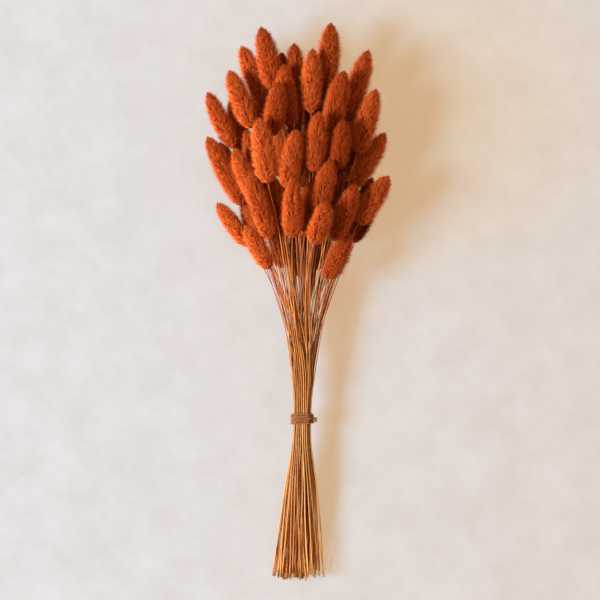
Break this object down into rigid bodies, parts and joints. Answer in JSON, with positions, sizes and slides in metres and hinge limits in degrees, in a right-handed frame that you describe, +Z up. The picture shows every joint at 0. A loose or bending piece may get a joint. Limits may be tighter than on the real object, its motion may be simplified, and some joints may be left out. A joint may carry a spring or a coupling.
{
  "type": "bundle of bunny tail grass",
  "caption": "Dried bunch of orange-dyed bunny tail grass on long straw stems, tied with jute twine, lying on its side.",
  "frame": {"origin": "centre of the footprint on the surface that the bunch lies on", "axes": "+Y along the bunch from the cut ends to the seed heads, +Z up from the surface, +X to the right seen from above with the heads away from the viewer"},
  "size_m": [0.165, 0.5006, 0.091],
  "materials": {
    "dyed_grass": "dyed dry plume and straw, matte",
    "jute_twine": "rough natural fibre, matte"
  },
  "bodies": {
    "root": {"stalk_01": "dyed_grass", "stalk_02": "dyed_grass", "stalk_03": "dyed_grass", "stalk_04": "dyed_grass", "stalk_05": "dyed_grass", "stalk_06": "dyed_grass", "stalk_07": "dyed_grass", "stalk_08": "dyed_grass", "stalk_09": "dyed_grass", "stalk_10": "dyed_grass", "stalk_11": "dyed_grass", "stalk_12": "dyed_grass", "stalk_13": "dyed_grass", "stalk_14": "dyed_grass", "stalk_15": "dyed_grass", "stalk_16": "dyed_grass", "stalk_17": "dyed_grass", "stalk_18": "dyed_grass", "stalk_19": "dyed_grass", "stalk_20": "dyed_grass", "stalk_21": "dyed_grass", "stalk_22": "dyed_grass", "stalk_23": "dyed_grass", "stalk_24": "dyed_grass", "stalk_25": "dyed_grass", "stalk_26": "dyed_grass", "stalk_27": "dyed_grass", "stalk_28": "dyed_grass", "stalk_29": "dyed_grass", "stalk_30": "dyed_grass", "stalk_31": "dyed_grass", "stalk_32": "dyed_grass", "stalk_33": "dyed_grass", "stalk_34": "dyed_grass", "stalk_35": "dyed_grass", "stalk_36": "dyed_grass", "stalk_37": "dyed_grass", "stalk_38": "dyed_grass", "stalk_39": "dyed_grass", "stalk_40": "dyed_grass", "stalk_41": "dyed_grass", "stalk_42": "dyed_grass", "stalk_43": "dyed_grass", "stalk_44": "dyed_grass", "stalk_45": "dyed_grass", "stalk_46": "dyed_grass", "stalk_47": "dyed_grass", "stalk_48": "dyed_grass", "stalk_49": "dyed_grass", "stalk_50": "dyed_grass", "stalk_51": "dyed_grass", "stalk_52": "dyed_grass", "stalk_53": "dyed_grass", "stalk_54": "dyed_grass", "stalk_55": "dyed_grass", "stalk_56": "dyed_grass", "stalk_57": "dyed_grass", "stalk_58": "dyed_grass", "twine_wraps": "jute_twine", "twine_knot": "jute_twine"}
  },
  "joints": []
}
